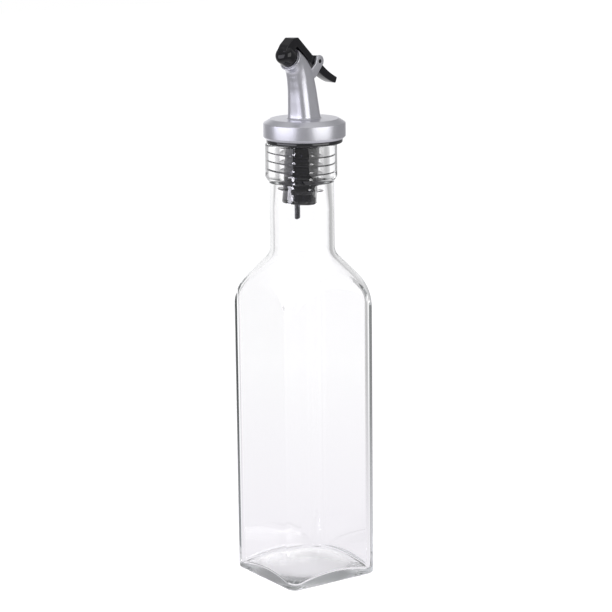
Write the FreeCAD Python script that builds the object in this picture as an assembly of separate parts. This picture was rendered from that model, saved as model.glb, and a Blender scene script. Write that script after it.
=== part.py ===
import FreeCAD, Part
import math
import os

# Square glass oil bottle with a lever pourer.
# Millimetres, +Z up, origin at the centre of the bottle's underside,
# the flat sides of the bottle facing along X and Y.

V = FreeCAD.Vector
UP = V(0, 0, 1)
ORIGIN = V(0, 0, 0)

# ---------------------------------------------------------------- driving sizes
# Glass body
body_side = 47.0            # across two opposite flats
body_corner_r = 5.0         # upright corners, outside
inner_corner_r = 4.0        # upright corners, inside
wall = 2.2                  # body, shoulder and neck
heel_r = 1.3                # rounding between the underside and the sides
floor_apex_z = 7.2          # top of the domed floor inside
floor_dome_r = 70.0         # radius of that dome
floor_fillet = 2.0          # where the floor meets the walls
punt_r = 17.0               # rim of the hollow pushed up into the underside
punt_depth = 2.4

# Shoulder and neck
shoulder_z = 123.3          # where the corners start to lean in
shoulder_r = 20.0           # convex rounding of the shoulder
shoulder_slope_deg = 45.0   # of the straight stretch between the two roundings
flare_r = 6.5               # concave rounding into the neck
neck_r = 14.5               # outside

# Collar at the mouth
rim_z = 197.6
collar_r = 15.95
collar_height = 17.0        # from the rim down to its underside at the neck
collar_bevel = 2.0          # height of its lower bevel
rim_round = 0.8
bore_r = 9.8
bore_length = 14.6          # from the rim down
bore_taper = 8.0            # height over which the bore opens out to the neck
mouth_chamfer = 0.6

# Stopper
core_r = 7.6
core_length = 26.6          # below the rim
fin_count = 5
fin_pitch = 3.8
first_fin_depth = 5.6       # of the top fin below the rim
fin_clearance = 0.08        # to the bore
fin_press = 0.6             # the fins are made this much larger than the bore
fin_root = 1.0              # thickness at the core
fin_tip = 0.5               # thickness at the edge
free_fin_r = 10.2           # the lowest fin stands free below the bore
fin_lift = 0.6              # the edge stands this much above the root
core_lean_deg = 4.0         # the soft core stands this much askew in the bore
core_lean_turn_deg = 325.4  # heading its top leans towards
core_lean_depth = 11.6      # below the rim, where it stays centred
flange_r = 16.85
flange_thick = 1.7
flange_round = 0.5

# How the pourer stands in the neck
pourer_turn_deg = 194.4     # heading of the spout, from +X
pourer_shift = V(1.32, -0.91, 0)

# Cap of the pourer
cap_r = 18.2
cap_bevel = 1.2             # lower edge
cap_band = 5.9              # height of the upright band
cap_top_drop = 1.9          # height of the sloping shoulder over the band
cap_top_r = 15.1
cap_edge_round = 0.5

# Stem and channel
stem_r = 4.0
stem_clearance = 0.05
stem_length = 16.0          # into the stopper
channel_r = 3.0

# Spout, in its own plane: "out" is the way it points, z is height above the cap
mouth_tilt_deg = 58.0       # the mouth's axis from upright
mouth_out = 9.0
mouth_up = 26.6
mouth_r = 5.2
mouth_bore_r = 3.62
groove_in_r = 4.2
groove_out_r = 4.6
groove_depth = 0.4

# Ears and pivot
pivot_out = -6.3
pivot_up = 24.7
ear_r = 2.65
ear_thick = 1.2
trunnion_r = 0.95
trunnion_clearance = 0.05
side_clearance = 0.1        # lever boss to ear

# Lever
lever_width = 5.0
lever_round = 0.4           # its long edges
boss_side = 0.3             # the boss stands out this much on each side of the arm
boss_r = 2.45
nose_r = 4.25
nose_start = 1.2            # along the mouth's axis from the mouth
nose_end = 7.1
nose_round = 2.4
hook_rise = 6.0             # the hood reaches this far over the mouth's axis
seal_r = 3.85
seal_gap = 0.1

# Air tube
tube_r = 1.2
tube_bore_r = 0.85
tube_seat_clearance = 0.02
tube_out = 5.5              # from the bottle's axis
tube_turn_deg = 215.5
tube_drop = 6.6             # below the stopper
tube_seat = 15.0            # length held in the stopper
tube_cut_deg = 55.0         # slant of the cut end

# --------------------------------------------------------------- derived sizes
boss_width = lever_width + 2 * boss_side
collar_z = rim_z - collar_height
bore_low_z = rim_z - bore_length
stopper_low_z = rim_z - core_length
flange_top_z = rim_z + flange_thick
cap_top_z = flange_top_z + cap_bevel + cap_band + cap_top_drop


# ----------------------------------------------------------------- small tools
def polar(radius, angle_deg, centre=(0.0, 0.0)):
    """Point at an angle on a circle, as a pair."""
    a = math.radians(angle_deg)
    return (centre[0] + radius * math.cos(a), centre[1] + radius * math.sin(a))


def flat(point):
    """Pair (r, z) to a point in the XZ plane."""
    return V(point[0], 0, point[1])


def outline(steps):
    """Closed wire in the XZ plane. A step is a pair, or (middle, end) of an arc."""
    edges = []
    here = steps[0]
    for step in steps[1:] + [steps[0]]:
        if step == here:
            continue
        if isinstance(step[0], tuple):
            edges.append(Part.Arc(flat(here), flat(step[0]), flat(step[1])).toShape())
            here = step[1]
        else:
            edges.append(Part.LineSegment(flat(here), flat(step)).toShape())
            here = step
    return Part.Wire(edges)


def turned(steps):
    """Solid of revolution about Z from an outline of (r, z) steps."""
    return Part.Face(outline(steps)).revolve(ORIGIN, UP, 360)


def extruded(steps, width):
    """Solid of an XZ outline, centred on Y = 0."""
    face = Part.Face(outline(steps))
    face.translate(V(0, -width / 2, 0))
    return face.extrude(V(0, width, 0))


def disc_on(centre, axis, radius, length):
    return Part.makeCylinder(radius, length, centre, axis)


def edges_where(solid, test):
    return [edge for edge in solid.Edges if test(edge)]


def save(shape, node):
    clean = shape.removeSplitter()
    solid = clean.Solids[0] if len(clean.Solids) == 1 else clean
    solid.exportStep("parts/" + node + ".step")
    print(node, "solids", len(clean.Solids), "valid", clean.isValid(),
          "volume", round(clean.Volume, 1))


# --------------------------------------------------------------------- glass
def rounded_prism(half, corner_r, low, high):
    block = Part.makeBox(2 * half, 2 * half, high - low, V(-half, -half, low))
    uprights = edges_where(block, lambda e: abs(e.tangentAt(e.FirstParameter).z) > 0.99)
    return block.makeFillet(corner_r, uprights)


def shoulder_steps(inset):
    """Side of the shoulder from the corners up to the neck, moved in by inset."""
    half = body_side / 2
    reach = half * math.sqrt(2) - (math.sqrt(2) - 1) * body_corner_r
    slope = math.radians(shoulder_slope_deg)
    face_deg = 90 - shoulder_slope_deg
    convex = (reach - shoulder_r, shoulder_z)
    flare_out = neck_r + flare_r
    run = (convex[0] - flare_out) * math.sin(slope) + shoulder_r + flare_r
    concave = (flare_out, shoulder_z + run / math.cos(slope))
    big = shoulder_r - inset
    small = flare_r + inset
    return [
        polar(big, 0, convex),
        (polar(big, face_deg / 2, convex), polar(big, face_deg, convex)),
        polar(small, 180 + face_deg, concave),
        (polar(small, 180 + face_deg / 2, concave), polar(small, 180, concave)),
    ]


def bottle_outside():
    half = body_side / 2
    prism = rounded_prism(half, body_corner_r, 0, rim_z)
    prism = prism.makeFillet(heel_r, edges_where(prism, lambda e: e.BoundBox.ZMax < 0.01))
    side = shoulder_steps(0)
    steps = [(0, 0), (side[0][0], 0)] + side + [
        (neck_r, collar_z),
        (collar_r, collar_z + collar_bevel),
        (collar_r, rim_z - rim_round),
        (polar(rim_round, 45, (collar_r - rim_round, rim_z - rim_round)),
         (collar_r - rim_round, rim_z)),
        (0, rim_z),
    ]
    return prism.common(turned(steps))


def bottle_inside():
    half = body_side / 2 - wall
    neck_in = neck_r - wall
    side = shoulder_steps(wall)
    above = 1.0
    prism = rounded_prism(half, inner_corner_r, 0, rim_z + above)
    steps = [(0, 0), (side[0][0], 0)] + side + [
        (neck_in, bore_low_z - bore_taper),
        (bore_r, bore_low_z),
        (bore_r, rim_z - mouth_chamfer),
        (bore_r + mouth_chamfer, rim_z),
        (bore_r + mouth_chamfer, rim_z + above),
        (0, rim_z + above),
    ]
    cavity = prism.common(turned(steps))
    dome = Part.makeSphere(floor_dome_r, V(0, 0, floor_apex_z - floor_dome_r))
    cavity = cavity.cut(dome)
    return cavity.makeFillet(floor_fillet, edges_where(
        cavity, lambda e: e.BoundBox.ZMax < floor_apex_z))


def punt():
    ball_r = (punt_r ** 2 + punt_depth ** 2) / (2 * punt_depth)
    return Part.makeSphere(ball_r, V(0, 0, punt_depth - ball_r))


def glass_bottle():
    return bottle_outside().cut(bottle_inside()).cut(punt())


# ------------------------------------------------------------------- stopper
def fin_steps():
    """Core side from the top down, with its fins."""
    steps = []
    for k in range(fin_count):
        z = rim_z - first_fin_depth - k * fin_pitch
        edge_r = free_fin_r if k == fin_count - 1 else bore_r + fin_press
        steps += [
            (core_r, z + fin_root / 2),
            (edge_r, z + fin_lift + fin_tip / 2),
            (edge_r, z + fin_lift - fin_tip / 2),
            (core_r, z - fin_root / 2),
        ]
    return steps


def stopper_room():
    """The space the pressed-in rubber may fill: the bore, less the clearance."""
    room_r = bore_r - fin_clearance
    wide_r = neck_r - wall - fin_clearance
    low = stopper_low_z - bore_taper
    return turned([(0, low), (wide_r, low), (wide_r, bore_low_z - bore_taper),
                   (room_r, bore_low_z), (room_r, rim_z), (room_r, flange_top_z - flange_round),
                   (0, flange_top_z - flange_round)])


def core_lean_axis():
    a = math.radians(core_lean_turn_deg + 90)
    return V(math.cos(a), math.sin(a), 0)


def tube_place():
    a = math.radians(tube_turn_deg)
    return V(tube_out * math.cos(a), tube_out * math.sin(a), 0)


def stopper():
    core = turned([(0, flange_top_z), (core_r, flange_top_z)] + fin_steps()
                  + [(core_r, stopper_low_z), (0, stopper_low_z)])
    core.rotate(V(0, 0, rim_z - core_lean_depth), core_lean_axis(), core_lean_deg)
    core = core.common(stopper_room())
    flange = disc_on(pourer_shift + V(0, 0, rim_z), UP, flange_r, flange_thick)
    flange = flange.makeFillet(flange_round, edges_where(
        flange, lambda e: e.Closed and e.BoundBox.ZLength < 0.01))
    seat_z = flange_top_z - stem_length
    wide = disc_on(pourer_shift + V(0, 0, seat_z), UP, stem_r, stem_length + 1)
    narrow = disc_on(pourer_shift + V(0, 0, stopper_low_z - 1), UP, channel_r, core_length)
    socket = disc_on(tube_place() + V(0, 0, stopper_low_z - 1), UP,
                     tube_r + tube_seat_clearance, tube_seat + 1)
    return core.fuse(flange).cut(wide).cut(narrow).cut(socket)


def air_tube():
    low = stopper_low_z - tube_drop
    base = tube_place() + V(0, 0, low)
    length = tube_drop + tube_seat
    tube = disc_on(base, UP, tube_r, length).cut(disc_on(base, UP, tube_bore_r, length))
    size = 8 * tube_r
    knife = Part.makeBox(size, size, size, V(-size / 2, -size / 2, -size))
    knife.rotate(ORIGIN, V(0, 1, 0), 90 - tube_cut_deg)
    knife.rotate(ORIGIN, UP, tube_turn_deg)
    lift = tube_r * math.tan(math.radians(90 - tube_cut_deg))
    knife.translate(base + V(0, 0, lift))
    return tube.cut(knife)


# -------------------------------------------------------------------- pourer
# Worked out in its own frame: the spout points along +X, the pivot lies along Y,
# z starts at the cap's top. placed() turns and shifts it onto the bottle.
def placed(shape):
    moved = shape.copy()
    moved.rotate(ORIGIN, UP, pourer_turn_deg)
    moved.translate(pourer_shift + V(0, 0, cap_top_z))
    return moved


def mouth_axis():
    a = math.radians(mouth_tilt_deg)
    return V(math.sin(a), 0, math.cos(a))


def mouth_point(along, across=0.0):
    """Point in the spout's plane: along the mouth's axis, and across it, upwards."""
    axis = mouth_axis()
    rise = V(-axis.z, 0, axis.x)
    return V(mouth_out, 0, mouth_up) + axis * along + rise * across


def station(centre, tilt_deg, half_x, half_y, corner_r):
    """Closed rounded-rectangle wire on a plane tilted towards the spout's heading."""
    tilt = math.radians(tilt_deg)
    ux = V(math.cos(tilt), 0, -math.sin(tilt))
    uy = V(0, 1, 0)
    c = V(centre[0], 0, centre[1])
    sx = half_x - corner_r
    sy = half_y - corner_r
    quarter = [(sx, sy, 0), (-sx, sy, 90), (-sx, -sy, 180), (sx, -sy, 270)]
    points = []
    for x, y, start in quarter:
        for turn in (11.25, 33.75, 56.25, 78.75):
            px, py = polar(corner_r, start + turn, (x, y))
            points.append(c + ux * px + uy * py)
    curve = Part.BSplineCurve()
    curve.interpolate(points, True)
    return Part.Wire([curve.toShape()])


def spout_stations():
    """Centre (out, up), tilt, half length, half width and corner of each station."""
    root = mouth_point(-2.5)
    return [
        ((0.0, -0.3), 0, 6.6, 6.2, 4.3),
        ((0.7, 7.0), 3, 6.3, 5.7, 4.3),
        ((1.7, 14.7), 8, 5.95, 5.2, 4.2),
        ((3.4, 20.5), 30, 5.6, 5.1, 4.5),
        ((root.x, root.z), mouth_tilt_deg, mouth_r - 0.1, mouth_r - 0.1, mouth_r - 0.1),
        ((mouth_out, mouth_up), mouth_tilt_deg, mouth_r, mouth_r, mouth_r),
    ]


def cap():
    high = -cap_top_drop
    low = high - cap_band - cap_bevel
    band = turned([
        (0, low),
        (cap_r - cap_bevel, low),
        (cap_r, low + cap_bevel),
        (cap_r, high - cap_edge_round),
        (polar(cap_edge_round, 30, (cap_r - cap_edge_round, high - cap_edge_round)),
         polar(cap_edge_round, 60, (cap_r - cap_edge_round, high - cap_edge_round))),
        (cap_top_r, 0),
        (0, 0),
    ])
    return band


def ear():
    """One ear in the pivot's plane: a round lobe on a web out of the spout's back."""
    pivot = (pivot_out, pivot_up)
    top = polar(ear_r, 60, pivot)
    web = [
        top,
        (pivot_out + 7.5, pivot_up - 2.6),
        (pivot_out + 7.5, pivot_up - 9.0),
        (pivot_out + 2.6, pivot_up - 6.6),
        polar(ear_r, 222, pivot),
        (polar(ear_r, 141, pivot), top),
    ]
    return extruded(web, ear_thick)


def ears():
    reach = boss_width / 2 + side_clearance + ear_thick / 2
    hole = disc_on(V(pivot_out, -20, pivot_up), V(0, 1, 0),
                   trunnion_r + trunnion_clearance, 40)
    pair = []
    for side in (-1, 1):
        plate = ear()
        plate.translate(V(0, side * reach, 0))
        pair.append(plate.cut(hole))
    return pair


def pourer():
    spout = Part.makeLoft([station(*s) for s in spout_stations()], True, False)
    body = cap().fuse(spout)
    for plate in ears():
        body = body.fuse(plate)
    low = flange_top_z - cap_top_z
    stem = disc_on(V(0, 0, low - stem_length), UP, stem_r - stem_clearance, stem_length + 1)
    body = body.fuse(stem)
    axis = mouth_axis()
    back = -mouth_out / axis.x
    elbow = mouth_point(back)
    channel = disc_on(V(0, 0, low - stem_length - 1), UP, channel_r, elbow.z - low + stem_length + 1)
    bore = disc_on(elbow, axis, mouth_bore_r, -back + 1)
    knee = Part.makeSphere(mouth_bore_r, elbow)
    body = body.cut(channel).cut(bore).cut(knee)
    groove = disc_on(mouth_point(-groove_depth), axis, groove_out_r, 1)
    groove = groove.cut(disc_on(mouth_point(-1), axis, groove_in_r, 3))
    return body.cut(groove)


# --------------------------------------------------------------------- lever
def lever_side():
    """Outline of the lever in the spout's plane, (out, up)."""
    pivot = (pivot_out, pivot_up)
    front = mouth_point(nose_end)
    back = mouth_point(nose_start)
    hook = mouth_point(nose_start, hook_rise)

    def by_mouth(out, up):
        return (mouth_out + out, mouth_up + up)

    def by_pivot(out, up):
        return (pivot_out + out, pivot_up + up)

    hood = [by_mouth(-3.1, 9.3), by_mouth(0.3, 9.3), by_mouth(3.9, 6.6),
            (front.x, front.z), (back.x, back.z), (hook.x, hook.z)]
    under = [by_pivot(5.2, 0.7), by_pivot(1.7, -2.7), by_pivot(-1.6, -5.1),
             (by_pivot(-6.0, -8.1), by_pivot(-10.6, -10.3))]
    thumb_end = [by_pivot(-12.5, -10.8), by_pivot(-13.6, -8.3)]
    top = [(by_pivot(-8.9, -5.8), by_pivot(-4.0, -2.2)),
           polar(boss_r, 205, pivot),
           (polar(boss_r, 150, pivot), polar(boss_r, 95, pivot)),
           by_pivot(2.7, 2.7)]
    return hood + under + thumb_end + top


def lever():
    arm = extruded(lever_side(), lever_width)
    arm = arm.makeFillet(lever_round, edges_where(arm, lambda e: e.BoundBox.YLength < 0.01))
    pivot = V(pivot_out, 0, pivot_up)
    boss = disc_on(pivot - V(0, boss_width / 2, 0), V(0, 1, 0), boss_r, boss_width)
    half = boss_width / 2 + side_clearance + ear_thick
    trunnions = disc_on(pivot - V(0, half, 0), V(0, 1, 0), trunnion_r, 2 * half)
    nose = disc_on(mouth_point(nose_start), mouth_axis(), nose_r, nose_end - nose_start)
    front = edges_where(nose, lambda e: e.Closed and
                        (e.BoundBox.Center - mouth_point(nose_end)).Length < 0.1)
    nose = nose.makeFillet(nose_round, front)
    return arm.fuse(boss).fuse(trunnions).fuse(nose)


def seal():
    return disc_on(mouth_point(seal_gap), mouth_axis(), seal_r, nose_start - seal_gap)


if __name__ == "__main__":
    os.makedirs("parts", exist_ok=True)
    save(glass_bottle(), "glass_bottle")
    save(stopper(), "stopper")
    save(air_tube(), "air_tube")
    save(placed(pourer()), "pourer")
    save(placed(lever()), "lever")
    save(placed(seal()), "seal")
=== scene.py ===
# %% [markdown]
# # A square glass oil bottle with a lever pourer
#
# The bottle is one thick piece of clear glass: a square body with rounded corners, a
# shoulder that turns the square into a round neck, and a collar at the mouth. A black
# rubber stopper with fins sits in the bore and carries a silver pourer, whose mouth is
# shut by a pad under a black lever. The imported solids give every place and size, so
# they are loaded first, and all that follows is made around them in the same frame.

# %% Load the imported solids
import math

import bpy
import numpy as np
from mathutils import Matrix, Vector


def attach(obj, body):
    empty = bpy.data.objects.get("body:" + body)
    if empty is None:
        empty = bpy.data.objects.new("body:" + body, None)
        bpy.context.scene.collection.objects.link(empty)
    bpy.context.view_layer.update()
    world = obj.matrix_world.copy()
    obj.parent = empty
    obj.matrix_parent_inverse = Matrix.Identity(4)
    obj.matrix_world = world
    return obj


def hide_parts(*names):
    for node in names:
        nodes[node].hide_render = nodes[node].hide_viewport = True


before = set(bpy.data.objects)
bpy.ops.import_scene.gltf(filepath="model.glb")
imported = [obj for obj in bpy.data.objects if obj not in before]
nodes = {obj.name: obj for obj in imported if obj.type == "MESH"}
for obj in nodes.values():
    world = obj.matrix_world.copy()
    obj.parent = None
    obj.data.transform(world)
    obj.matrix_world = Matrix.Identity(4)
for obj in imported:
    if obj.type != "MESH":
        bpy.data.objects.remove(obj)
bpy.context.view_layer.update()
print("solids:", sorted(nodes))

# %% [markdown]
# ## Tools of the bench
#
# Nearly every piece here is a skin: a grid of points, where one direction runs round the
# piece and the other along it. Blender's own primitives could be pushed into place too,
# but a grid that is computed as one array gives even quads, clean smooth shading and
# closed poles, which glass needs more than any other material.

# %% A closed skin over a grid of points
MM = 0.001


def new_piece(name, points, faces_of_four, faces_of_three):
    """Mesh object from whole arrays: points in millimetres, then quads and triangles."""
    mesh = bpy.data.meshes.new(name)
    quads = np.asarray(faces_of_four, dtype=np.int32).reshape(-1, 4)
    threes = np.asarray(faces_of_three, dtype=np.int32).reshape(-1, 3)
    corners = np.concatenate([quads.ravel(), threes.ravel()])
    starts = np.concatenate([np.arange(len(quads)) * 4,
                             len(quads) * 4 + np.arange(len(threes)) * 3])
    mesh.vertices.add(len(points))
    mesh.vertices.foreach_set("co", (np.asarray(points) * MM).astype(np.float32).ravel())
    mesh.loops.add(len(corners))
    mesh.loops.foreach_set("vertex_index", corners.astype(np.int32))
    mesh.polygons.add(len(starts))
    mesh.polygons.foreach_set("loop_start", starts.astype(np.int32))
    mesh.update(calc_edges=True)
    mesh.validate()
    mesh.polygons.foreach_set("use_smooth", np.ones(len(mesh.polygons), dtype=bool))
    piece = bpy.data.objects.new(name, mesh)
    bpy.context.scene.collection.objects.link(piece)
    print(name, "has", 2 * len(quads) + len(threes), "triangles")
    return piece


def skin(name, grid, low_pole=None, high_pole=None, looped=False):
    """Each point of the grid (row, column) joins its neighbours in a quad. Columns always
    close on themselves; rows close too if looped, or end in a fan at a pole."""
    rows, columns = grid.shape[:2]
    row, column = np.meshgrid(np.arange(rows if looped else rows - 1),
                              np.arange(columns), indexing="ij")
    up = (row + 1) % rows
    beside = (column + 1) % columns
    quads = np.stack([row * columns + column, row * columns + beside,
                      up * columns + beside, up * columns + column], axis=-1)
    points = [grid.reshape(-1, 3)]
    threes = []
    around = np.arange(columns)
    turn = (around + 1) % columns
    if low_pole is not None:
        tip = np.full(columns, rows * columns)
        points.append(np.array([low_pole], dtype=float))
        threes.append(np.stack([tip, turn, around], axis=-1))
    if high_pole is not None:
        tip = np.full(columns, rows * columns + (low_pole is not None))
        points.append(np.array([high_pole], dtype=float))
        last = (rows - 1) * columns
        threes.append(np.stack([last + around, last + turn, tip], axis=-1))
    fans = np.concatenate(threes) if threes else np.zeros((0, 3))
    return new_piece(name, np.concatenate(points), quads, fans)


# %% Profiles with rounded corners
def rounded(corners, steps=6):
    """Polyline whose corners (x, y, radius) are replaced by arcs: the arc's middle lies on
    the bisector, radius / sin(half angle) from the corner. Radius 0 keeps a corner."""
    corners = [np.array(c, dtype=float) for c in corners]
    out = [corners[0][:2]]
    for before, here, after in zip(corners, corners[1:], corners[2:]):
        radius = here[2]
        if radius <= 0:
            out.append(here[:2])
            continue
        a = (before[:2] - here[:2]) / np.linalg.norm(before[:2] - here[:2])
        b = (after[:2] - here[:2]) / np.linalg.norm(after[:2] - here[:2])
        half = math.acos(np.clip(a @ b, -1, 1)) / 2
        bisector = (a + b) / np.linalg.norm(a + b)
        centre = here[:2] + bisector * radius / math.sin(half)
        first = here[:2] + a * radius / math.tan(half) - centre
        last = here[:2] + b * radius / math.tan(half) - centre
        sweep = math.pi - 2 * half
        t = np.linspace(0, 1, steps + 1)[:, None]
        arc = (np.sin((1 - t) * sweep) * first + np.sin(t * sweep) * last) / math.sin(sweep)
        out.extend(centre + arc)
    out.append(corners[-1][:2])
    return np.array(out)


def filled(line, spacing):
    """The same polyline with extra points, so that no two are further apart than spacing."""
    out = [line[:1]]
    for a, b in zip(line, line[1:]):
        count = max(1, int(math.ceil(np.linalg.norm(b - a) / spacing)))
        t = np.arange(1, count + 1)[:, None] / count
        out.append(a + (b - a) * t)
    return np.concatenate(out)


# %% [markdown]
# ## The glass
#
# A square bottle with a round neck is the common part of two bodies: a square prism with
# rounded upright corners, and a turned body that has the shoulder and neck. Cut together
# with a sharp knife they would leave a hard arch on each flat side, so the smaller of the
# two distances from the axis is taken with a soft minimum, and the arch comes out melted,
# as the mould leaves it. One skin runs from the middle of the underside up the outside,
# over the rim and down the inside to the middle of the floor, so the wall is real glass
# with two faces, and light bends in it as it does in the real one.

# %% Sizes of the bottle, in millimetres
half_side = 23.5
corner = 5.0
wall = 2.2
inner_corner = 4.0
neck = 14.5
rim = 197.6
collar = 15.95
collar_low = 180.6
bore = 9.8
bore_widens = [(183.3, bore), (180.2, 11.3), (168.0, neck - wall)]    # (height, radius)
shoulder_start = 123.3
shoulder_round = 20.0
flare = 6.5
reach = half_side * math.sqrt(2) - (math.sqrt(2) - 1) * corner

# %% How far the rounded square is from the axis
def square_reach(turn, half, radius):
    """Distance from the axis to a square with rounded corners, in the direction turn: the
    flat gives half / cos, and past it the ray meets the corner's circle, centre (h, h)."""
    folded = np.abs((turn + math.pi / 4) % (math.pi / 2) - math.pi / 4)
    inner = half - radius
    flat_reach = half / np.cos(folded)
    off = math.pi / 4 - folded
    middle = math.sqrt(2) * inner
    under = np.maximum(radius ** 2 - (middle * np.sin(off)) ** 2, 0)
    arc_reach = middle * np.cos(off) + np.sqrt(under)
    return np.where(half * np.tan(folded) <= inner, flat_reach, arc_reach)


def corner_turns(per_flat=34, per_corner=28):
    """Directions round the axis, close together in the corners and wider on the flats."""
    edge = math.atan((half_side - corner) / half_side)
    flat_part = np.linspace(-edge, edge, per_flat, endpoint=False)
    corner_part = np.linspace(edge, math.pi / 2 - edge, per_corner, endpoint=False)
    quarter = np.concatenate([flat_part, corner_part])
    return np.concatenate([quarter + k * math.pi / 2 for k in range(4)])


turns = corner_turns()
print("columns round the bottle:", len(turns))

# %% The turned body that is cut with the square
def shoulder_line(inset):
    """(r, z) along the shoulder: an arc outwards, a straight slope at 45 degrees, and a
    hollow arc into the neck. Inset moves it inwards, for the inner face."""
    high = (reach - shoulder_round, shoulder_start)
    slope = math.radians(45)
    out = neck + flare
    run = (high[0] - out) * math.sin(slope) + shoulder_round + flare
    low = (out, shoulder_start + run / math.cos(slope))
    t = np.linspace(0, slope, 26)
    round_part = np.stack([high[0] + (shoulder_round - inset) * np.cos(t),
                           high[1] + (shoulder_round - inset) * np.sin(t)], axis=1)
    t = np.linspace(math.pi + slope, math.pi, 16)
    hollow_part = np.stack([low[0] + (flare + inset) * np.cos(t),
                            low[1] + (flare + inset) * np.sin(t)], axis=1)
    return np.concatenate([round_part, hollow_part])


def soft_min(a, b, width):
    """Smooth minimum: min(a, b) - h * h * width / 4 with h = max(width - |a - b|, 0) / width."""
    h = np.maximum(width - np.abs(a - b), 0) / width
    return np.minimum(a, b) - h * h * width / 4


def shaped(line, half, radius, melt_flat=3.5, melt_corner=1.2, melt_rise=9.0):
    """Grid of the square prism cut by the turned line, melted above the shoulder's start:
    widely on the middle of each flat, little at the corners, which keep their outline. The
    melting grows to its full width over the height melt_rise."""
    r, z = line[:, :1], line[:, 1:]
    folded = np.abs((turns + math.pi / 4) % (math.pi / 2) - math.pi / 4)
    middle = np.clip((math.radians(43) - folded) / math.radians(22), 0, 1)
    middle = middle * middle * (3 - 2 * middle)
    melt = melt_corner + (melt_flat - melt_corner) * middle
    blend = np.clip((z - shoulder_start) / melt_rise, 0.001, 1) * melt
    square = square_reach(turns[None, :], half, radius)
    far = soft_min(square, r + 0 * square, blend)
    return np.stack([far * np.cos(turns), far * np.sin(turns), z + 0 * far], axis=-1)


# %% Underside, heel and floor
def ring(far, height):
    """One grid row per row of far: points at that distance from the axis, at that height."""
    return np.stack([far * np.cos(turns), far * np.sin(turns), height + 0 * far], axis=-1)


punt_r, punt_rise, heel = 19.0, 2.4, 1.3
notches, notch_depth = 62, 0.16
r = np.linspace(0.04, 1, 26)[:, None]
punt_grid = ring(punt_r * r + 0 * turns, punt_rise * (1 - r ** 2) ** 1.5)

s = np.linspace(0.08, 1, 12)[:, None]
heel_start = square_reach(turns, half_side - heel, corner - heel)[None, :]
across = np.sin(math.pi * np.clip(s * 1.1, 0, 1))
knurl = notch_depth * np.maximum(0, np.sin(notches * turns)) * across
bearing_grid = ring(punt_r + (heel_start - punt_r) * s, knurl)

t = np.linspace(0.12, 1, 8) * math.pi / 2
heel_grid = np.concatenate([
    ring(square_reach(turns, half_side - heel * (1 - math.sin(a)),
                      corner - heel * (1 - math.sin(a)))[None, :],
         np.array([[heel * (1 - math.cos(a))]])) for a in t])

floor_top, floor_ball, floor_fillet = 7.2, 70.0, 2.2
half_in = half_side - wall


def floor_height(r):
    """The domed floor: a ball of radius 70 whose top is 7.2 above the table."""
    return floor_top - floor_ball + np.sqrt(floor_ball ** 2 - r ** 2)


inset = floor_fillet * (1 - np.cos(np.linspace(0, 1, 10) * math.pi / 2))[:, None]
near_wall = np.concatenate([square_reach(turns, half_in - d, max(inner_corner - d, 1.8))[None, :]
                            for d in inset[:, 0]])
cove = floor_fillet - np.sqrt(floor_fillet ** 2 - (floor_fillet - inset) ** 2)
cove_grid = ring(near_wall, floor_height(near_wall) + cove)
s = np.linspace(0.96, 0.03, 26)[:, None]
inner_edge = near_wall[-1:] * s
floor_grid = ring(inner_edge, floor_height(inner_edge))
print("glass at the middle of the floor:", round(floor_top - punt_rise, 2), "mm")

# %% The whole bottle in one skin
outside = np.concatenate([
    filled(np.array([(reach, 2.2), (reach, shoulder_start - 1.5)]), 10.0),
    shoulder_line(0),
])
neck_line = rounded([
    (neck, shoulder_line(0)[-1, 1] + 0.5, 0),
    (neck, collar_low, 0.8),
    (collar, collar_low + 2.0, 0.7),
    (collar, rim, 1.0),
    (bore + 0.5, rim, 0.5),
    (bore, rim - 1.2, 0.4),
    *((far, z, 3.0) for z, far in bore_widens),
    (neck - wall, shoulder_line(wall)[-1, 1] + 0.5, 0),
], steps=7)
inside = np.concatenate([
    shoulder_line(wall)[::-1],
    filled(np.array([(reach, shoulder_start - 2.0), (reach, 9.0)]), 10.0),
])
glass_grid = np.concatenate([
    punt_grid, bearing_grid, heel_grid,
    shaped(filled(outside, 1.4), half_side, corner),
    shaped(filled(neck_line, 3.0), 60.0, 20.0),
    shaped(filled(inside, 1.4), half_in, inner_corner),
    cove_grid, floor_grid,
])
bottle = skin("bottle_glass", glass_grid, low_pole=(0, 0, punt_rise), high_pole=(0, 0, floor_top))
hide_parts("glass_bottle")
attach(bottle, "bottle")

# %% [markdown]
# ## The rubber stopper
#
# The stopper is one moulding: a flange that lies on the rim, a core, and five thin fins
# that are a little larger than the bore, so they bend up and press on the glass. Where
# black rubber touches clear glass the whole wall lights up dark at that height, so the
# fins here reach just into the glass. The soft core stands slightly askew, as it ends up
# when a pourer is pushed in by hand.

# %% Where the pourer and its stopper stand
seat = np.array([1.32, -0.91, 0.0])
flange_r, flange_thick = 16.85, 1.7
flange_top = rim + flange_thick
lean = math.radians(4.0)
lean_heading = math.radians(325.4)
lean_height = rim - 11.6


def leaned(points):
    """Turns points about the horizontal line across the lean's heading, at lean_height."""
    axis = Vector((math.cos(lean_heading + math.pi / 2), math.sin(lean_heading + math.pi / 2), 0))
    turn = np.array(Matrix.Rotation(lean, 3, axis))
    centre = np.array([0, 0, lean_height])
    return (points - centre) @ turn.T + centre


def circles(line, columns=144, centre=(0.0, 0.0, 0.0)):
    """Grid of level circles: row i has radius r_i at height z_i about the centre's axis."""
    a = np.linspace(0, 2 * math.pi, columns, endpoint=False)
    r, z = line[:, :1], line[:, 1:]
    grid = np.stack([r * np.cos(a), r * np.sin(a), z + 0 * a], axis=-1)
    return grid + np.array(centre)


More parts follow.
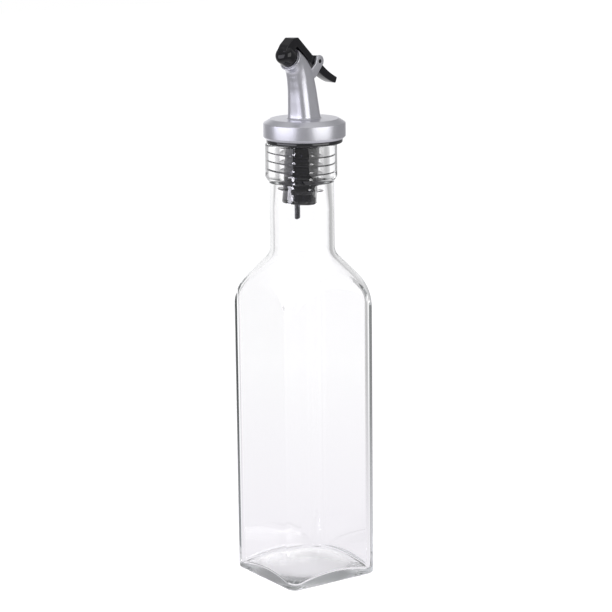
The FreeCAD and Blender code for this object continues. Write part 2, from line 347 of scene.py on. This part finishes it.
# %% Fins pressed against the glass
core, core_length = 7.6, 26.6
fin_low = rim - core_length
first_fin, fin_pitch = 5.6, 3.8
free_tip, pressed_tip = 10.2, 10.55
fin_press, fin_free = 0.08, -1.0        # past the glass in the bore, short of it below
well_r, well_depth, channel_r = 4.0, 16.0, 3.0
fin_line = [(core, fin_low + 0.9)]
for k, tip in zip((4, 3, 2, 1, 0), (free_tip, *[pressed_tip] * 4)):
    z = rim - first_fin - fin_pitch * k
    fin_line += [(core, z - 0.75), (core + 0.25, z - 0.5), (tip - 0.1, z + 0.38), (tip, z + 0.6),
                 (tip - 0.1, z + 0.85), (core + 0.25, z + 0.5), (core, z + 0.75)]
fin_line += [(core, rim - 0.6)]
core_grid = leaned(circles(filled(np.array(fin_line), 0.8)))
end_grid = leaned(circles(rounded([(channel_r, fin_low, 0), (core, fin_low, 0.8),
                                   (core, fin_low + 1.0, 0)])))
far = np.hypot(core_grid[..., 0], core_grid[..., 1])
touch = np.where(core_grid[..., 2] > bore_widens[0][0], fin_press, fin_free)
opening = np.interp(core_grid[..., 2], *np.array(bore_widens[::-1]).T) + touch
core_grid[..., :2] *= np.minimum(1, opening / far)[..., None]
flange_grid = circles(rounded([(core, rim - 0.05, 0), (flange_r, rim - 0.05, 0.6),
                               (flange_r, flange_top, 0.6), (well_r, flange_top, 0)]),
                      centre=seat)
well_low = flange_top - well_depth
well_grid = circles(np.array([(well_r, flange_top - 0.5), (well_r, well_low),
                              (channel_r, well_low), (channel_r, fin_low + 2.0)]), centre=seat)
stopper_grid = np.concatenate([end_grid, core_grid, flange_grid, well_grid])
stopper = skin("stopper_rubber", stopper_grid, looped=True)
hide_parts("stopper")
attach(stopper, "bottle")

# %% [markdown]
# ## The silver pourer
#
# Cap, spout and stem are one moulding, and so one skin here: up the stem, out under the
# cap, round its band, in over the top, up the spout, over the mouth and back down the
# channel inside. The spout starts nearly square with soft corners and turns round by the
# time it bends over to its mouth, so each of its sections is a rounded rectangle whose
# sizes are read off smooth curves along the spout.

# %% Frame of the pourer: x is the spout's heading, z starts at the cap's top
cap_height = 9.0
cap_top = flange_top + cap_height
spout_turn = math.radians(194.4)
spout_place = Matrix.Translation((seat[0], seat[1], cap_top)) @ Matrix.Rotation(spout_turn, 4, "Z")
place = np.array(spout_place)
mouth_tilt_deg = 58.0
mouth_tilt = math.radians(mouth_tilt_deg)
mouth = np.array([9.0, 0.0, 26.6])
mouth_axis = np.array([math.sin(mouth_tilt), 0.0, math.cos(mouth_tilt)])
mouth_rise = np.array([-math.cos(mouth_tilt), 0.0, math.sin(mouth_tilt)])


def on_bottle(points):
    """From the pourer's own frame to the bottle's."""
    return points @ place[:3, :3].T + place[:3, 3]


# %% Sections of the spout
def box_reach(turn, half_x, half_y, radius):
    """Distance from the middle to a rectangle with rounded corners, in the direction turn."""
    c = np.maximum(np.abs(np.cos(turn)), 1e-9)
    s = np.maximum(np.abs(np.sin(turn)), 1e-9)
    cx, cy = half_x - radius, half_y - radius
    along = cx * c + cy * s
    arc = along + np.sqrt(np.maximum(radius ** 2 - cx ** 2 - cy ** 2 + along ** 2, 0))
    to_x = half_x / c
    to_y = half_y / s
    return np.where(to_x * s <= cy, to_x, np.where(to_y * c <= cx, to_y, arc))


def smooth_through(knots, values, at):
    """Cubic through the knots, with slopes from the neighbours (Catmull and Rom's rule)."""
    slopes = np.gradient(values, knots, axis=0)
    i = np.clip(np.searchsorted(knots, at, side="right") - 1, 0, len(knots) - 2)
    width = (knots[i + 1] - knots[i])[:, None]
    t = (at - knots[i])[:, None] / width
    return ((2 * t ** 3 - 3 * t ** 2 + 1) * values[i]
            + (t ** 3 - 2 * t ** 2 + t) * width * slopes[i]
            + (3 * t ** 2 - 2 * t ** 3) * values[i + 1]
            + (t ** 3 - t ** 2) * width * slopes[i + 1])


mouth_r = 5.2
mouth_root = mouth - 2.5 * mouth_axis
stations = np.array([
    # out, up, tilt, half length, half width, corner
    (0.0, -0.3, 0, 6.6, 6.2, 4.3),
    (0.7, 7.0, 3, 6.3, 5.7, 4.3),
    (1.7, 14.7, 8, 5.95, 5.2, 4.2),
    (3.4, 20.5, 30, 5.6, 5.1, 4.5),
    (mouth_root[0], mouth_root[2], mouth_tilt_deg, 5.1, 5.1, 5.05),
    (mouth[0], mouth[2], mouth_tilt_deg, mouth_r, mouth_r, 5.15),
])
knots = np.concatenate([[0], np.cumsum(np.hypot(*np.diff(stations[:, :2], axis=0).T))])
around = np.linspace(0, 2 * math.pi, 160, endpoint=False)


def spout_rows(at):
    """Grid of the spout's outside: at each distance along it, the section in its plane."""
    out, up, tilt, half_x, half_y, radius = smooth_through(knots, stations, at).T[:, :, None]
    radius = np.minimum(radius, np.minimum(half_x, half_y) - 0.01)
    far = box_reach(around[None, :], half_x, half_y, radius)
    tilt = np.radians(tilt)
    x, y = far * np.cos(around), far * np.sin(around)
    return np.stack([out + x * np.cos(tilt), y, up - x * np.sin(tilt)], axis=-1)


# %% Cap, spout and channel in one skin
def level(line):
    """Circles about the pourer's own upright axis, with as many points as the spout."""
    return circles(line, columns=len(around))


stem_r = 3.95
cap_r, cap_top_r, cap_bevel, cap_top_drop = 18.2, 15.1, 1.2, 1.9
cap_low = -cap_height
stem_low = cap_low - well_depth
cap_side = rounded([
    (stem_r, stem_low, 0), (stem_r, cap_low, 0),
    (17.0, cap_low, 0.2), (cap_r, cap_low + cap_bevel, 0.25), (cap_r, -cap_top_drop, 0.6),
    (cap_top_r, 0.0, 0.35), (8.2, 0.0, 0),
], steps=5)
foot = spout_rows(np.array([0.4, 0.9, 1.6]))
foot_flare = foot.copy()
foot_flare[..., :2] *= np.array([1.085, 1.03, 1.006])[:, None, None]
foot_flare[0, :, 2], foot_flare[1, :, 2], foot_flare[2, :, 2] = 0.02, 0.35, 1.0
body_rows = spout_rows(np.linspace(1.9, knots[-1] - 0.25, 70))


def mouth_circle(radius, depth):
    """Circle about the mouth's axis, depth below its face, starting at its far side."""
    ring_x = np.cross([0, 1, 0], mouth_axis)
    return (mouth - depth * mouth_axis + radius * (np.cos(around)[:, None] * ring_x
            + np.sin(around)[:, None] * np.array([0, 1, 0])))


def mouth_rows(line):
    """Grid of circles about the mouth's axis, one for each (radius, depth) of the line."""
    return np.stack([mouth_circle(radius, depth) for radius, depth in line])


mouth_bore = 3.62
groove_in, groove_out, groove_depth = 4.2, 4.6, 0.4
lip = mouth_rows(rounded([
    (mouth_r, 0.3, 0), (mouth_r, 0.0, 0.25),
    (groove_out, 0.0, 0.12), (4.55, groove_depth, 0.1),
    (groove_in, groove_depth, 0.1), (groove_in, 0.0, 0.1),
    (mouth_bore, 0.0, 0.15), (mouth_bore, 3.0, 0),
], steps=4))
elbow = mouth - mouth_axis * mouth[0] / mouth_axis[0]
bend = np.linspace(0, 1, 9)[:, None, None]
upper = mouth_circle(mouth_bore, 6.0)
lower = np.stack([channel_r * np.cos(around), channel_r * np.sin(around),
                  0 * around + elbow[2] - 5.0], axis=1)
bend_rows = (1 - bend) ** 2 * upper + 2 * bend * (1 - bend) * (
    elbow + 0.5 * (upper - upper.mean(0) + lower - lower.mean(0))) + bend ** 2 * lower
drain = level(np.array([(channel_r, elbow[2] - 12.0), (channel_r, 0.0), (channel_r, stem_low)]))
pourer_grid = np.concatenate([level(cap_side), foot_flare, body_rows, lip, bend_rows, drain])
pourer = skin("pourer_body", on_bottle(pourer_grid), looped=True)
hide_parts("pourer")
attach(pourer, "bottle")

# %% [markdown]
# ## Ears, lever and pad
#
# The flat parts are plates: an outline in the spout's plane, given a width across it, with
# its long edges rounded. The rounding matters, because a glossy black part shows its shape
# almost only through the light caught by its edges.

# %% A plate with rounded edges
def plate(name, outline, low, high, edge):
    """Outline (x, z), closed and anticlockwise seen from -y, carried from y = low to high.
    Near each face it is drawn in along its own normals by edge * (1 - cos a)."""
    before = np.roll(outline, 1, axis=0)
    after = np.roll(outline, -1, axis=0)
    side = after - before
    normal = np.stack([side[:, 1], -side[:, 0]], axis=1)
    normal /= np.linalg.norm(normal, axis=1)[:, None]
    a = np.linspace(math.pi / 2, 0, 6)
    drawn = np.concatenate([edge * (1 - np.cos(a)), edge * (1 - np.cos(a[::-1]))])
    across = np.concatenate([low + edge * (1 - np.sin(a)), high - edge * (1 - np.sin(a[::-1]))])
    flat = outline[None] - normal[None] * drawn[:, None, None]
    grid = np.stack([flat[..., 0], np.broadcast_to(across[:, None], flat.shape[:2]),
                     flat[..., 1]], axis=-1)
    piece = skin(name, on_bottle(grid))
    close_ends(piece, len(grid), len(outline))
    return piece


def close_ends(piece, rows, columns):
    """Adds one flat face on the first and the last row of a skin."""
    mesh = piece.data
    corners = np.concatenate([np.arange(columns)[::-1], (rows - 1) * columns + np.arange(columns)])
    first_loop, first_face = len(mesh.loops), len(mesh.polygons)
    mesh.loops.add(len(corners))
    index = np.empty(len(mesh.loops), dtype=np.int32)
    mesh.loops.foreach_get("vertex_index", index)
    index[first_loop:] = corners
    mesh.loops.foreach_set("vertex_index", index)
    mesh.polygons.add(2)
    starts = np.empty(len(mesh.polygons), dtype=np.int32)
    mesh.polygons.foreach_get("loop_start", starts)
    starts[first_face:] = [first_loop, first_loop + columns]
    mesh.polygons.foreach_set("loop_start", starts)
    mesh.update(calc_edges=True)
    mesh.validate()


def arc_points(centre, radius, start, end, count=14):
    """Points on a circle from angle start to end, in degrees."""
    a = np.radians(np.linspace(start, end, count))
    return np.stack([centre[0] + radius * np.cos(a), centre[1] + radius * np.sin(a)], axis=1)


def through(a, b, c, count=14):
    """Circular arc from a by b to c."""
    a, b, c = (np.array(p, dtype=float) for p in (a, b, c))
    m = 2 * np.array([b - a, c - a])
    centre = np.linalg.solve(m, [b @ b - a @ a, c @ c - a @ a])
    angles = [math.atan2(*(p - centre)[::-1]) for p in (a, b, c)]
    turn = [(v - angles[0]) % (2 * math.pi) for v in angles]
    end = turn[2] if turn[1] < turn[2] else turn[2] - 2 * math.pi
    t = angles[0] + np.linspace(0, end, count)
    return centre + np.linalg.norm(a - centre) * np.stack([np.cos(t), np.sin(t)], axis=1)


# %% The two ears
pivot = np.array([-6.3, 24.7])
boss_half, side_clearance = 2.8, 0.1
ear_r, ear_half, ear_edge = 2.65, 0.6, 0.3
ear_outline = rounded([
    (pivot[0] + 3.0, pivot[1] - 1.0, 0),
    (pivot[0] + 7.0, pivot[1] - 4.0, 0), (pivot[0] + 7.0, pivot[1] - 9.0, 0),
    (pivot[0] + 2.6, pivot[1] - 6.6, 0.6), (-8.27, 22.93, 0)])
lobe = arc_points(pivot, ear_r, 222, 60, 28)
ear_outline = filled(np.concatenate([ear_outline, lobe[1:]]), 0.5)
ears = []
for side, name in ((-1, "ear_near"), (1, "ear_far")):
    middle = side * (boss_half + side_clearance + ear_half)
    ears.append(plate(name, ear_outline[::-1], middle - ear_half, middle + ear_half, ear_edge))
    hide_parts("pourer")
    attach(ears[-1], "bottle")

# %% The lever's arm
def by_mouth(out, up):
    """Point (out, up) as seen from the middle of the mouth."""
    return (mouth[0] + out, mouth[2] + up)


def by_pivot(out, up):
    """Point (out, up) as seen from the lever's pivot."""
    return (pivot[0] + out, pivot[1] + up)


def mouth_point(along, across=0.0):
    """Point along the mouth's axis, and across it in the spout's plane."""
    p = mouth + along * mouth_axis + across * mouth_rise
    return (p[0], p[2])


lever_half, lever_edge, boss_r = 2.5, 0.4, 2.45
nose_start, nose_end = 1.2, 7.1
hook_rise = 6.0
arm_parts = [
    np.array([by_pivot(2.7, 2.7), by_mouth(-3.1, 9.3)]),
    rounded([by_mouth(-3.1, 9.3) + (0,), by_mouth(0.3, 9.3) + (0.8,), by_mouth(3.9, 6.6) + (0.8,),
             mouth_point(nose_end) + (0,)])[1:],
    np.array([mouth_point(nose_start), mouth_point(nose_start, hook_rise)]),
    rounded([mouth_point(nose_start, hook_rise) + (0,), by_pivot(5.2, 0.7) + (1.5,),
             by_pivot(1.7, -2.7) + (2,), by_pivot(-1.6, -5.1) + (0,)])[1:-1],
    through(by_pivot(-1.6, -5.1), by_pivot(-6.0, -8.1), by_pivot(-10.6, -10.3)),
    rounded([by_pivot(-10.6, -10.3) + (0,), by_pivot(-12.5, -10.8) + (0.5,),
             by_pivot(-13.6, -8.3) + (0.5,), by_pivot(-8.9, -5.8) + (0,)])[1:-1],
    through(by_pivot(-13.6, -8.3), by_pivot(-8.9, -5.8), by_pivot(-4.0, -2.2))[1:],
    arc_points(pivot, boss_r, 205, 95),
]
arm_outline = filled(np.concatenate(arm_parts), 0.6)
arm = plate("lever_arm", arm_outline[::-1], -lever_half, lever_half, lever_edge)

# %% Nose, boss and trunnions of the lever
def spun(name, line, start, axis, columns=72):
    """Skin turned about an axis: line holds (distance along, radius), its ends on the axis."""
    side = np.cross([0, 1, 0], axis) if abs(axis[1]) < 0.9 else np.array([1.0, 0, 0])
    side = side / np.linalg.norm(side)
    other = np.cross(axis, side)
    a = np.linspace(0, 2 * math.pi, columns, endpoint=False)[:, None]
    circle = np.cos(a) * side + np.sin(a) * other
    along, radius = line[1:-1, 0], line[1:-1, 1]
    grid = start + along[:, None, None] * axis + radius[:, None, None] * circle
    ends = [on_bottle((start + line[k, 0] * axis)[None])[0] for k in (0, -1)]
    return skin(name, on_bottle(grid), low_pole=ends[0], high_pole=ends[1])


nose_r, nose_round = 4.25, 3.0
nose_line = rounded([(nose_start, 0, 0), (nose_start, nose_r, 0.3),
                     (nose_end, nose_r, nose_round), (nose_end, 0, 0)], steps=10)
nose = spun("lever_nose", nose_line, mouth, mouth_axis)
pin = np.array([pivot[0], 0.0, pivot[1]])
pin_axis = np.array([0.0, 1.0, 0.0])
pin_r, pin_half = 0.95, 4.13


def drum(half, radius, edge):
    """Line of a cylinder about its middle, with its two rims rounded by edge."""
    return rounded([(-half, 0, 0), (-half, radius, edge), (half, radius, edge), (half, 0, 0)])


boss = spun("lever_boss", drum(boss_half, boss_r, 0.35), pin, pin_axis)
trunnions = spun("lever_trunnions", drum(pin_half, pin_r, 0.1), pin, pin_axis, columns=40)
lever_pieces = [arm, nose, boss, trunnions]
for piece in lever_pieces:
    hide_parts("lever")
    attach(piece, "lever")

# %% The pad that shuts the mouth
seal_gap, seal_r, seal_end = 0.1, 3.85, 1.25
pad_line = rounded([(seal_gap, 0, 0), (seal_gap, seal_r, 0.2), (seal_end, seal_r, 0.2),
                    (seal_end, 0, 0)])
pad = spun("seal_pad", pad_line, mouth, mouth_axis)
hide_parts("seal")
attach(pad, "lever")

# %% [markdown]
# ## Finishes
#
# Each finish is a Principled shader whose plain values are written on its own sockets. The
# surfaces are not perfect, so a fine noise, read from the piece's own place in space,
# drives a small bump: a faint ripple in the glass, a satin grain in the silver, the skin
# of moulded rubber.

# %% A finish with a little texture
def finish(name, colour, roughness, metallic=0.0, grain=0.0, grain_size=0.0005, **extra):
    """Principled material; grain is the bump's height in metres at noise of grain_size."""
    material = bpy.data.materials.new(name)
    material.use_nodes = True
    tree = material.node_tree
    shader = tree.nodes["Principled BSDF"]
    shader.inputs["Base Color"].default_value = (*colour, 1)
    shader.inputs["Roughness"].default_value = roughness
    shader.inputs["Metallic"].default_value = metallic
    for key, value in extra.items():
        shader.inputs[key.replace("_", " ")].default_value = value
    place_node = tree.nodes.new("ShaderNodeTexCoord")
    noise = tree.nodes.new("ShaderNodeTexNoise")
    noise.inputs["Scale"].default_value = 1 / grain_size
    noise.inputs["Detail"].default_value = 2
    bump = tree.nodes.new("ShaderNodeBump")
    bump.inputs["Distance"].default_value = grain
    tree.links.new(place_node.outputs["Object"], noise.inputs["Vector"])
    tree.links.new(noise.outputs["Fac"], bump.inputs["Height"])
    tree.links.new(bump.outputs["Normal"], shader.inputs["Normal"])
    return material


glass = finish("clear glass", (0.995, 0.993, 0.996), 0.0, grain=0.00002, grain_size=0.02,
               Transmission_Weight=1.0, IOR=1.52, Specular_IOR_Level=0.35)
rubber = finish("stopper rubber", (0.004, 0.004, 0.006), 0.10, grain=0.000005, IOR=1.65,
                Specular_IOR_Level=0.65)
silver = finish("satin silver", (0.72, 0.72, 0.77), 0.32, metallic=0.9, grain=0.000004,
                grain_size=0.0004)
black = finish("glossy black", (0.005, 0.005, 0.007), 0.09, grain=0.000004, grain_size=0.001,
               IOR=1.5)
steel = finish("drawn steel", (0.26, 0.26, 0.29), 0.12, metallic=1.0, grain=0.000004)

# %% Painted shade: the glass looks darker where the eye meets it at a slant
def slant_painted_shade(material, edge=(0.95, 0.96, 0.96)):
    """Layer Weight's Facing goes from 0, square on, to 1, edge on; a ramp turns it into the
    tint of the light that passes, darker at the edge: painted shade, so that the rounded corners
    and the rims draw their lines."""
    tree = material.node_tree
    slant = tree.nodes.new("ShaderNodeLayerWeight")
    slant.inputs["Blend"].default_value = 0.5
    ramp = tree.nodes.new("ShaderNodeValToRGB")
    ramp.color_ramp.elements.new(0.7)
    ramp.color_ramp.interpolation = "EASE"
    for element, (stop, colour) in zip(ramp.color_ramp.elements, (
            (0.0, (1.0, 0.9985, 1.0)), (0.7, (0.998, 0.996, 1.0)), (1.0, edge))):
        element.position = stop
        element.color = (*colour, 1)
    tree.links.new(slant.outputs["Facing"], ramp.inputs["Fac"])
    tree.links.new(ramp.outputs["Color"], tree.nodes["Principled BSDF"].inputs["Base Color"])


# the glass's tint falls to the edge colour at a slant: painted shade
slant_painted_shade(glass)

# %% The underside is left matt by the mould
def matt_underside(material, roughness=0.35, low=0.0026, far=0.0215):
    """Roughness where the surface lies under the height low and within far of the axis,
    both in metres and read from the piece's own coordinates; the rest stays polished."""
    tree = material.node_tree
    place_node = tree.nodes.new("ShaderNodeTexCoord")
    axes = tree.nodes.new("ShaderNodeSeparateXYZ")
    level = tree.nodes.new("ShaderNodeVectorMath")
    level.operation = "MULTIPLY"
    level.inputs[1].default_value = (1, 1, 0)
    away = tree.nodes.new("ShaderNodeVectorMath")
    away.operation = "LENGTH"
    tree.links.new(place_node.outputs["Object"], axes.inputs[0])
    tree.links.new(place_node.outputs["Object"], level.inputs[0])
    tree.links.new(level.outputs[0], away.inputs[0])
    inside_both = []
    for value, limit in ((axes.outputs["Z"], low), (away.outputs["Value"], far)):
        under = tree.nodes.new("ShaderNodeMath")
        under.operation = "LESS_THAN"
        under.inputs[1].default_value = limit
        tree.links.new(value, under.inputs[0])
        inside_both.append(under)
    matt = tree.nodes.new("ShaderNodeMath")
    matt.operation = "MULTIPLY"
    rough = tree.nodes.new("ShaderNodeMath")
    rough.operation = "MULTIPLY"
    rough.inputs[1].default_value = roughness
    tree.links.new(inside_both[0].outputs[0], matt.inputs[0])
    tree.links.new(inside_both[1].outputs[0], matt.inputs[1])
    tree.links.new(matt.outputs[0], rough.inputs[0])
    tree.links.new(rough.outputs[0], tree.nodes["Principled BSDF"].inputs["Roughness"])


matt_underside(glass)

# %% Light passes through the glass to the table
def let_light_through(material, share=0.9, caught=(0.63, 0.65, 0.65), bounces=2.5):
    """For the rays that look for a lamp, the glass is plainly transparent, so that it throws
    the pale shadow of clear glass. A ray caught between the two faces leaves through a
    green-grey tint after more than that many bounces: painted shade for how dark a thick edge of
    glass looks."""
    tree = material.node_tree
    shader = tree.nodes["Principled BSDF"]
    output = tree.nodes["Material Output"]
    path = tree.nodes.new("ShaderNodeLightPath")
    clear = tree.nodes.new("ShaderNodeBsdfTransparent")
    clear.inputs["Color"].default_value = (share, share, share, 1)
    # a ray caught between the faces passes through this grey: painted shade on thick edges
    edge = tree.nodes.new("ShaderNodeBsdfTransparent")
    edge.inputs["Color"].default_value = (*caught, 1)
    count = tree.nodes.new("ShaderNodeMath")
    count.operation = "GREATER_THAN"
    count.inputs[1].default_value = bounces
    tree.links.new(path.outputs["Glossy Depth"], count.inputs[0])
    shown = shader
    for chosen, surface in ((count.outputs[0], edge), (path.outputs["Is Shadow Ray"], clear)):
        mix = tree.nodes.new("ShaderNodeMixShader")
        tree.links.new(chosen, mix.inputs["Fac"])
        tree.links.new(shown.outputs[0], mix.inputs[1])
        tree.links.new(surface.outputs[0], mix.inputs[2])
        shown = mix
    tree.links.new(shown.outputs[0], output.inputs["Surface"])


let_light_through(glass)

# %% Put every finish on its pieces, and on the solids they stand for
worn = {
    "glass": (glass, [bottle, nodes["glass_bottle"]]),
    "stopper_rubber": (rubber, [stopper, nodes["stopper"]]),
    "tube_steel": (steel, [nodes["air_tube"]]),
    "silver": (silver, [pourer, nodes["pourer"]] + ears),
    "lever_black": (black, lever_pieces + [nodes["lever"]]),
    "seal_black": (rubber, [pad, nodes["seal"]]),
}
for slot_name, (material, wearers) in worn.items():
    for piece in wearers:
        piece.data.materials.clear()
        piece.data.materials.append(material)
print("finishes:", [material.name for material, _ in worn.values()])

# %% [markdown]
# ## Table, light and camera
#
# Clear glass shows only what surrounds it. It stands on a white table in front of a white
# ground, with two soft boxes at the front, left and right, that draw the bright bands on
# the silver, and a dimmer room at the sides, which the curved edges of the glass pick up
# as grey lines. Two narrower strips are seen only by rays that have passed through glass:
# they put the small glints on the rubber fins inside the neck.

# %% How bright the room is, by direction
camera_look = (0.5547, 0.8045, -0.2120)
view_heading = math.atan2(camera_look[1], camera_look[0])
room_heading = view_heading + math.radians(10)
# (place on the ramp, grey): what glossy rays see, then what rays through glass see
mirror_stops = [(0.0, 0.31), (0.2, 0.29), (0.5, 0.27), (0.88, 0.32), (0.95, 0.50), (0.99, 1.06)]
through_stops = [(0.0, 0.10), (0.26, 0.10), (0.46, 0.62), (0.6, 0.60), (0.74, 0.50),
                 (0.88, 0.66), (0.95, 1.16)]


def room_grey(tree, direction, room_stops=mirror_stops):
    """Colour socket: a ramp over the cosine between a level direction and the view's heading,
    0 towards the camera and 1 straight behind the bottle, and a soft light overhead."""
    link = tree.links.new
    unit = tree.nodes.new("ShaderNodeVectorMath")
    unit.operation = "NORMALIZE"
    ahead = tree.nodes.new("ShaderNodeVectorMath")
    ahead.operation = "DOT_PRODUCT"
    ahead.inputs[1].default_value = (math.cos(room_heading), math.sin(room_heading), 0)
    half = tree.nodes.new("ShaderNodeMath")
    half.operation = "MULTIPLY_ADD"
    half.inputs[1].default_value = 0.5
    half.inputs[2].default_value = 0.5
    ramp = tree.nodes.new("ShaderNodeValToRGB")
    for stop, grey in room_stops[1:-1]:
        ramp.color_ramp.elements.new(stop)
    for element, (stop, grey) in zip(ramp.color_ramp.elements, room_stops):
        element.position = stop
        element.color = (grey, grey, grey * 1.01, 1)
    axes = tree.nodes.new("ShaderNodeSeparateXYZ")
    above = tree.nodes.new("ShaderNodeMapRange")
    above.inputs["From Min"].default_value = 0.35
    above.inputs["From Max"].default_value = 0.9
    above.inputs["To Max"].default_value = 0.62
    brighter = tree.nodes.new("ShaderNodeMix")
    brighter.data_type = "RGBA"
    brighter.blend_type = "LIGHTEN"
    brighter.inputs["Factor"].default_value = 1.0
    link(direction, unit.inputs[0])
    link(unit.outputs[0], ahead.inputs[0])
    link(unit.outputs[0], axes.inputs[0])
    link(ahead.outputs["Value"], half.inputs[0])
    link(half.outputs[0], ramp.inputs["Fac"])
    link(axes.outputs["Z"], above.inputs["Value"])
    link(ramp.outputs["Color"], brighter.inputs["A"])
    link(above.outputs["Result"], brighter.inputs["B"])
    return brighter.outputs["Result"]


# %% The white table, which keeps a shadow
def white_table():
    """Seen directly, the table glows a little and takes the lamps' light, so it is white
    where nothing shades it. Metal and glass see it as bright as the room in that direction,
    and dimmer close by, where the bottle stands on it: a painted shadow under the bottle."""
    size, low = 3.0, -0.00003
    # the tone close by is a painted shadow under the bottle, seen by metal and glass
    painted_shadow_tone, painted_shadow_ends = (0.90, 0.885, 0.925, 1), (0.03, 0.40)
    mesh = bpy.data.meshes.new("table")
    mesh.from_pydata([(-size, -size, low), (size, -size, low), (size, size, low),
                      (-size, size, low)], [], [(0, 1, 2, 3)])
    table = bpy.data.objects.new("table", mesh)
    bpy.context.scene.collection.objects.link(table)
    material = bpy.data.materials.new("white table")
    material.use_nodes = True
    tree = material.node_tree
    tree.nodes.clear()
    link = tree.links.new
    output = tree.nodes.new("ShaderNodeOutputMaterial")
    plain = tree.nodes.new("ShaderNodeBsdfDiffuse")
    plain.inputs["Color"].default_value = (0.5, 0.5, 0.5, 1)
    glow = tree.nodes.new("ShaderNodeEmission")
    glow.inputs["Strength"].default_value = 0.72
    direct = tree.nodes.new("ShaderNodeAddShader")
    link(plain.outputs[0], direct.inputs[0])
    link(glow.outputs[0], direct.inputs[1])
    place_node = tree.nodes.new("ShaderNodeTexCoord")
    away = tree.nodes.new("ShaderNodeVectorMath")
    away.operation = "LENGTH"
    link(place_node.outputs["Object"], away.inputs[0])
    near = tree.nodes.new("ShaderNodeMapRange")
    near.inputs["From Min"].default_value = painted_shadow_ends[0]
    near.inputs["From Max"].default_value = painted_shadow_ends[1]
    link(away.outputs["Value"], near.inputs["Value"])
    path = tree.nodes.new("ShaderNodeLightPath")
    tones = []
    for stops in (mirror_stops, through_stops):
        tone = tree.nodes.new("ShaderNodeMix")
        tone.data_type = "RGBA"
        tone.inputs["A"].default_value = painted_shadow_tone
        link(near.outputs["Result"], tone.inputs["Factor"])
        link(room_grey(tree, place_node.outputs["Object"], stops), tone.inputs["B"])
        tones.append(tree.nodes.new("ShaderNodeEmission"))
        link(tone.outputs["Result"], tones[-1].inputs["Color"])
    shown = tones[0]
    for kind, ground in (("Is Transmission Ray", tones[1]), ("Is Camera Ray", direct)):
        mix = tree.nodes.new("ShaderNodeMixShader")
        link(path.outputs[kind], mix.inputs["Fac"])
        link(shown.outputs[0], mix.inputs[1])
        link(ground.outputs[0], mix.inputs[2])
        shown = mix
    link(shown.outputs[0], output.inputs["Surface"])
    table.data.materials.append(material)
    return table


table = white_table()

# %% The room around it
def room():
    """Camera rays see white; glossy and transmitted rays see the room's grey by direction;
    an even grey lights matt surfaces."""
    world = bpy.data.worlds.new("room")
    bpy.context.scene.world = world
    world.use_nodes = True
    tree = world.node_tree
    tree.nodes.clear()
    link = tree.links.new
    output = tree.nodes.new("ShaderNodeOutputWorld")
    place_node = tree.nodes.new("ShaderNodeTexCoord")
    path = tree.nodes.new("ShaderNodeLightPath")
    white = tree.nodes.new("ShaderNodeBackground")
    white.inputs["Color"].default_value = (1, 1, 1, 1)
    mirrored = tree.nodes.new("ShaderNodeBackground")
    link(room_grey(tree, place_node.outputs["Generated"]), mirrored.inputs["Color"])
    through = tree.nodes.new("ShaderNodeBackground")
    link(room_grey(tree, place_node.outputs["Generated"], through_stops), through.inputs["Color"])
    soft = tree.nodes.new("ShaderNodeBackground")
    soft.inputs["Color"].default_value = (0.62, 0.62, 0.64, 1)
    shown = soft
    for kind, ground in (("Is Glossy Ray", mirrored), ("Is Transmission Ray", through),
                         ("Is Camera Ray", white)):
        mix = tree.nodes.new("ShaderNodeMixShader")
        link(path.outputs[kind], mix.inputs["Fac"])
        link(shown.outputs[0], mix.inputs[1])
        link(ground.outputs[0], mix.inputs[2])
        shown = mix
    link(shown.outputs[0], output.inputs["Surface"])


room()

# %% Two soft boxes, and two strips seen only through glass
lamp_distance = 1.0
lavender, neutral = (0.92, 0.91, 1.0), (1.0, 1.0, 1.0)


def soft_box(name, turn_deg, height, width, tall, watts, colour, through_glass=False):
    """Area lamp turn_deg to the right of the camera as seen from the bottle, facing it.
    It is seen either through glass alone, or by everything except what glass lets through."""
    lamp = bpy.data.lights.new(name, "AREA")
    lamp.shape = "RECTANGLE"
    lamp.size, lamp.size_y = width, tall
    lamp.energy = watts
    lamp.color = colour
    a = view_heading + math.pi + math.radians(turn_deg)
    spot = Vector((lamp_distance * math.cos(a), lamp_distance * math.sin(a), height))
    aim = Vector((0, 0, 0.18)) - spot
    box = bpy.data.objects.new(name, lamp)
    box.matrix_world = Matrix.Translation(spot) @ aim.to_track_quat("-Z", "Y").to_matrix().to_4x4()
    box.visible_transmission = through_glass
    box.visible_diffuse = box.visible_glossy = not through_glass
    bpy.context.scene.collection.objects.link(box)
    print(name, "gives", watts, "W from", turn_deg, "degrees")


soft_box("box_left", -58, 0.35, 1.35, 0.9, 6.3, lavender)
soft_box("box_right", 51, 0.35, 1.05, 0.9, 4.6, neutral)
soft_box("strip_left", -50, 0.42, 0.30, 0.6, 8.0, lavender, through_glass=True)
soft_box("strip_right", 66, 0.42, 0.40, 0.6, 4.0, neutral, through_glass=True)

# %% The camera
camera = bpy.data.cameras.new("camera")
camera.lens = 128.1
camera.sensor_width = 36.0
forward = Vector(camera_look).normalized()
level_right = forward.cross(Vector((0, 0, 1))).normalized()
level_up = level_right.cross(forward)
roll = math.radians(-0.687)
right = math.cos(roll) * level_right + math.sin(roll) * level_up
up = -math.sin(roll) * level_right + math.cos(roll) * level_up
stand = bpy.data.objects.new("camera", camera)
bpy.context.scene.collection.objects.link(stand)
turn = Matrix((right, up, -forward)).transposed().to_4x4()
stand.matrix_world = Matrix.Translation((-0.5402, -0.7859, 0.3306)) @ turn
bpy.context.scene.camera = stand
bpy.context.scene.view_settings.view_transform = "Standard"
